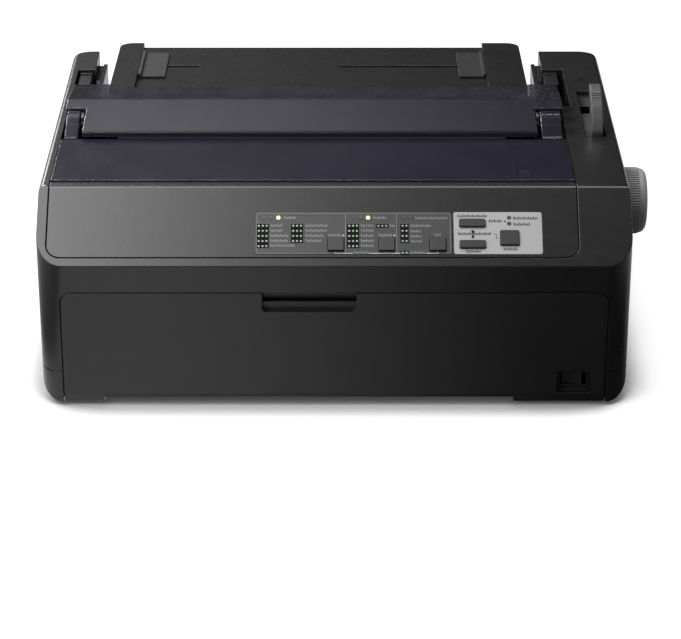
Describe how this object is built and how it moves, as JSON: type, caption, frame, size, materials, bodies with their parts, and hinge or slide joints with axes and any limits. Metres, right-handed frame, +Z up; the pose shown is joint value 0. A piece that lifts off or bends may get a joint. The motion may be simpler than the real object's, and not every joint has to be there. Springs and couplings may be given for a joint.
{
  "type": "dot matrix printer",
  "caption": "Narrow-carriage impact printer with hinged smoke covers, a fold-down front cover, platen with knob, tractors, carriage and a tilting paper guide.",
  "frame": {"origin": "bottom centre of the whole object: on the table under its feet, halfway between the case's left side and the knob's outer face, and halfway between the front cover's face and the paper guide's rear edge", "axes": "+X to the right as seen from the front, where the knob is; +Y to the back, where the paper guide is; +Z up"},
  "size_m": [0.414, 0.35, 0.167],
  "materials": {
    "charcoal_plastic": "fine textured, matte",
    "black_plastic": "matte",
    "smoke_plastic": "dark translucent, glossy",
    "grey_plastic": "satin",
    "label_film": "printed film, satin",
    "button_plastic": "satin",
    "lens_plastic": "clear tinted, glossy",
    "rubber": "matte",
    "sheet_steel": "zinc plated",
    "ground_steel": "ground and polished",
    "cast_aluminium": "die cast, finned",
    "nylon": "natural nylon, satin",
    "motor_shell": "dark painted",
    "blue_plastic": "satin",
    "green_board": "solder mask, satin",
    "tan_board": "phenolic board, matte"
  },
  "bodies": {
    "case": {"lower_case": "charcoal_plastic", "upper_case": "charcoal_plastic", "control_panel_housing": "charcoal_plastic", "panel_labels": "label_film", "indicator_lenses": "lens_plastic", "panel_board": "green_board", "power_switch_housing": "black_plastic", "rubber_feet": "rubber", "screws": "sheet_steel", "base_plate": "sheet_steel", "side_frame_left": "sheet_steel", "side_frame_right": "sheet_steel", "carriage_guide_shaft": "ground_steel", "ribbon_cartridge": "black_plastic", "carriage_motor": "motor_shell", "timing_belt": "rubber", "feed_motor": "motor_shell", "tractor_guide_shaft": "ground_steel", "front_paper_chute": "black_plastic", "rear_paper_chute": "black_plastic", "main_board": "green_board", "power_supply": "tan_board", "parallel_port": "black_plastic", "usb_port": "ground_steel", "mains_inlet": "black_plastic"},
    "printer_cover": {"printer_cover": "smoke_plastic"},
    "paper_guide_cover": {"paper_guide_cover": "smoke_plastic"},
    "front_cover": {"front_cover": "charcoal_plastic"},
    "paper_guide": {"paper_guide": "charcoal_plastic"},
    "edge_guide_left": {"edge_guide_left": "black_plastic"},
    "edge_guide_right": {"edge_guide_right": "black_plastic"},
    "release_lever": {"release_lever": "grey_plastic"},
    "thickness_lever": {"thickness_lever": "blue_plastic"},
    "power_rocker": {"power_rocker": "black_plastic"},
    "select_button_left": {"select_button_left": "button_plastic"},
    "select_button_middle": {"select_button_middle": "button_plastic"},
    "select_button_right": {"select_button_right": "button_plastic"},
    "feed_button_upper": {"feed_button_upper": "button_plastic"},
    "feed_button_lower": {"feed_button_lower": "button_plastic"},
    "pause_button": {"pause_button": "button_plastic"},
    "platen": {"platen": "rubber", "platen_gear": "nylon", "platen_knob": "grey_plastic"},
    "feed_pinion": {"feed_pinion": "ground_steel"},
    "transfer_gear": {"transfer_gear": "nylon"},
    "eject_roller": {"eject_roller": "rubber"},
    "tractor_drive_shaft": {"tractor_drive_shaft": "ground_steel"},
    "tractor_left": {"tractor_left": "black_plastic"},
    "tractor_right": {"tractor_right": "black_plastic"},
    "sprocket_left": {"sprocket_left": "nylon"},
    "sprocket_right": {"sprocket_right": "nylon"},
    "tractor_flap_left": {"tractor_flap_left": "black_plastic"},
    "tractor_flap_right": {"tractor_flap_right": "black_plastic"},
    "carriage": {"carriage": "black_plastic", "print_head": "cast_aluminium"},
    "motor_pulley": {"motor_pulley": "sheet_steel"},
    "idler_pulley": {"idler_pulley": "nylon"},
    "ribbon_knob": {"ribbon_knob": "grey_plastic"},
    "wire_clip_left": {"wire_clip_left": "ground_steel"},
    "wire_clip_right": {"wire_clip_right": "ground_steel"}
  },
  "joints": [
    {"name": "printer_cover_hinge", "type": "hinge", "parent": "case", "child": "printer_cover", "pos_m": [-0.0115, -0.017, 0.143], "axis": [-1, 0, 0], "range_deg": [0, 78]},
    {"name": "paper_guide_cover_hinge", "type": "hinge", "parent": "case", "child": "paper_guide_cover", "pos_m": [-0.0115, -0.017, 0.143], "axis": [1, 0, 0], "range_deg": [0, 36]},
    {"name": "front_cover_hinge", "type": "hinge", "parent": "case", "child": "front_cover", "pos_m": [-0.0115, -0.168, 0.0092], "axis": [1, 0, 0], "range_deg": [0, 90]},
    {"name": "paper_guide_hinge", "type": "hinge", "parent": "case", "child": "paper_guide", "pos_m": [-0.0235, 0.075, 0.122], "axis": [1, 0, 0], "range_deg": [0, 65]},
    {"name": "edge_guide_left_slide", "type": "slide", "parent": "paper_guide", "child": "edge_guide_left", "axis": [1, 0, 0], "range_m": [0, 0.03]},
    {"name": "edge_guide_right_slide", "type": "slide", "parent": "paper_guide", "child": "edge_guide_right", "axis": [-1, 0, 0], "range_m": [0, 0.095]},
    {"name": "release_lever_pivot", "type": "hinge", "parent": "case", "child": "release_lever", "pos_m": [0.1699, 0.003, 0.04], "axis": [-1, 0, 0], "range_deg": [0, 34]},
    {"name": "thickness_lever_pivot", "type": "hinge", "parent": "case", "child": "thickness_lever", "pos_m": [-0.175, -0.075, 0.084], "axis": [-1, 0, 0], "range_deg": [0, 25]},
    {"name": "power_rocker_tip", "type": "hinge", "parent": "case", "child": "power_rocker", "pos_m": [0.1462, -0.167, 0.019], "axis": [0, 0, 1], "range_deg": [0, 18]},
    {"name": "select_button_left_press", "type": "slide", "parent": "case", "child": "select_button_left", "axis": [0, 0.6334, -0.7738], "range_m": [0, 0.0008], "stiffness_N_per_m": 300},
    {"name": "select_button_middle_press", "type": "slide", "parent": "case", "child": "select_button_middle", "axis": [0, 0.6334, -0.7738], "range_m": [0, 0.0008], "stiffness_N_per_m": 300},
    {"name": "select_button_right_press", "type": "slide", "parent": "case", "child": "select_button_right", "axis": [0, 0.6334, -0.7738], "range_m": [0, 0.0008], "stiffness_N_per_m": 300},
    {"name": "feed_button_upper_press", "type": "slide", "parent": "case", "child": "feed_button_upper", "axis": [0, 0.6334, -0.7738], "range_m": [0, 0.0008], "stiffness_N_per_m": 300},
    {"name": "feed_button_lower_press", "type": "slide", "parent": "case", "child": "feed_button_lower", "axis": [0, 0.6334, -0.7738], "range_m": [0, 0.0008], "stiffness_N_per_m": 300},
    {"name": "pause_button_press", "type": "slide", "parent": "case", "child": "pause_button", "axis": [0, 0.6334, -0.7738], "range_m": [0, 0.0008], "stiffness_N_per_m": 300},
    {"name": "platen_spin", "type": "hinge", "parent": "case", "child": "platen", "pos_m": [-0.0285, -0.048, 0.095], "axis": [1, 0, 0], "continuous": true},
    {"name": "feed_pinion_spin", "type": "hinge", "parent": "case", "child": "feed_pinion", "pos_m": [0.1205, -0.03032, 0.07393], "axis": [1, 0, 0], "continuous": true},
    {"name": "transfer_gear_spin", "type": "hinge", "parent": "case", "child": "transfer_gear", "pos_m": [0.1205, -0.08777, 0.06072], "axis": [1, 0, 0], "continuous": true},
    {"name": "eject_roller_spin", "type": "hinge", "parent": "case", "child": "eject_roller", "pos_m": [-0.0285, -0.02023, 0.10244], "axis": [1, 0, 0], "continuous": true},
    {"name": "tractor_drive_spin", "type": "hinge", "parent": "case", "child": "tractor_drive_shaft", "pos_m": [-0.0285, -0.137, 0.052], "axis": [1, 0, 0], "continuous": true},
    {"name": "tractor_left_slide", "type": "slide", "parent": "case", "child": "tractor_left", "axis": [1, 0, 0], "range_m": [-0.01, 0.08]},
    {"name": "tractor_right_slide", "type": "slide", "parent": "case", "child": "tractor_right", "axis": [-1, 0, 0], "range_m": [-0.01, 0.08]},
    {"name": "sprocket_left_spin", "type": "hinge", "parent": "tractor_left", "child": "sprocket_left", "pos_m": [-0.1428, -0.137, 0.052], "axis": [1, 0, 0], "continuous": true},
    {"name": "sprocket_right_spin", "type": "hinge", "parent": "tractor_right", "child": "sprocket_right", "pos_m": [0.0858, -0.137, 0.052], "axis": [1, 0, 0], "continuous": true},
    {"name": "tractor_flap_left_hinge", "type": "hinge", "parent": "tractor_left", "child": "tractor_flap_left", "pos_m": [-0.1518, -0.1465, 0.06975], "axis": [0, -1, 0], "range_deg": [0, 95]},
    {"name": "tractor_flap_right_hinge", "type": "hinge", "parent": "tractor_right", "child": "tractor_flap_right", "pos_m": [0.0948, -0.1465, 0.06975], "axis": [0, 1, 0], "range_deg": [0, 95]},
    {"name": "carriage_slide", "type": "slide", "parent": "case", "child": "carriage", "axis": [1, 0, 0], "range_m": [0, 0.22]},
    {"name": "motor_pulley_spin", "type": "hinge", "parent": "case", "child": "motor_pulley", "pos_m": [-0.1888, -0.119, 0.089], "axis": [0, 0, 1], "range_deg": [-1860, 1]},
    {"name": "idler_pulley_spin", "type": "hinge", "parent": "case", "child": "idler_pulley", "pos_m": [0.1005, -0.119, 0.089], "axis": [0, 0, 1], "range_deg": [-1860, 1]},
    {"name": "ribbon_knob_spin", "type": "hinge", "parent": "case", "child": "ribbon_knob", "pos_m": [-0.1405, -0.103, 0.128], "axis": [0, 0, 1], "continuous": true},
    {"name": "wire_clip_left_swing", "type": "hinge", "parent": "case", "child": "wire_clip_left", "pos_m": [-0.151, 0.1304, 0.043], "axis": [0, 0, -1], "range_deg": [-35, 15]},
    {"name": "wire_clip_right_swing", "type": "hinge", "parent": "case", "child": "wire_clip_right", "pos_m": [-0.092, 0.1304, 0.043], "axis": [0, 0, 1], "range_deg": [-35, 15]}
  ],
  "couplings": [
    {"joint": "feed_pinion_spin", "follows": "platen_spin", "ratio": -2.6667},
    {"joint": "transfer_gear_spin", "follows": "platen_spin", "ratio": -0.61538},
    {"joint": "eject_roller_spin", "follows": "platen_spin", "ratio": -2.2857},
    {"joint": "tractor_drive_spin", "follows": "platen_spin", "ratio": 1.1429},
    {"joint": "sprocket_left_spin", "follows": "platen_spin", "ratio": 1.1429},
    {"joint": "sprocket_right_spin", "follows": "platen_spin", "ratio": 1.1429},
    {"joint": "motor_pulley_spin", "follows": "carriage_slide", "rad_per_m": -147.06},
    {"joint": "idler_pulley_spin", "follows": "carriage_slide", "rad_per_m": -147.06}
  ]
}
